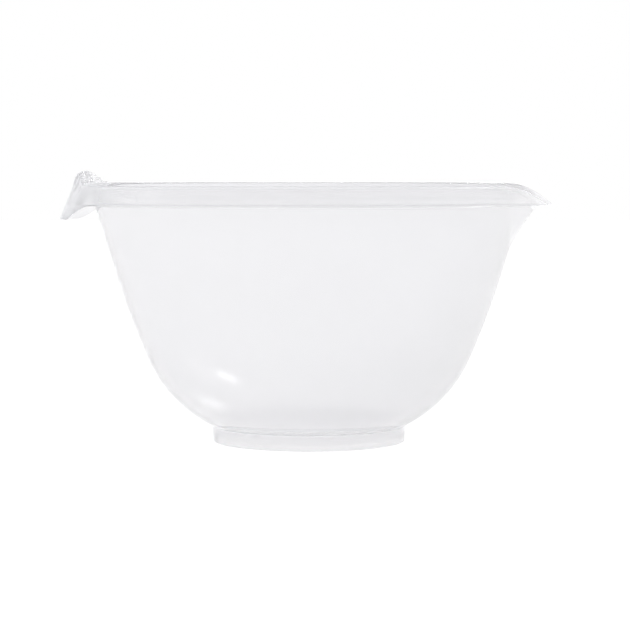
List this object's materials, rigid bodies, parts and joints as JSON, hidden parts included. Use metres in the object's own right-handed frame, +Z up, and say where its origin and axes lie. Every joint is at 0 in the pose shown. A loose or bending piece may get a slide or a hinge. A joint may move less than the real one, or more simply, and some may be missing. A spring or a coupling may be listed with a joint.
{
  "type": "mixing bowl",
  "caption": "Translucent one-piece plastic mixing bowl with a pouring spout, a flared ribbed thumb grip, a skirted rim and a low foot ring, for kitchen and bakery work.",
  "frame": {"origin": "on the bowl's axis, in the plane of the table under the foot ring", "axes": "+Z up, +X out of the pouring spout, -X out of the thumb grip"},
  "size_m": [0.2451, 0.226, 0.1354],
  "materials": {
    "natural_plastic": "satin translucent, unpigmented polypropylene"
  },
  "bodies": {
    "root": {"foot_ring": "natural_plastic", "bowl_floor": "natural_plastic", "bowl_wall": "natural_plastic", "rim_skirt_front": "natural_plastic", "rim_skirt_back": "natural_plastic", "pouring_spout": "natural_plastic", "thumb_grip": "natural_plastic", "grip_rib_1": "natural_plastic", "grip_rib_2": "natural_plastic", "grip_rib_3": "natural_plastic", "grip_rib_4": "natural_plastic", "grip_rib_5": "natural_plastic", "grip_rib_6": "natural_plastic", "grip_rib_7": "natural_plastic", "grip_rib_8": "natural_plastic", "grip_rib_9": "natural_plastic"}
  },
  "joints": []
}
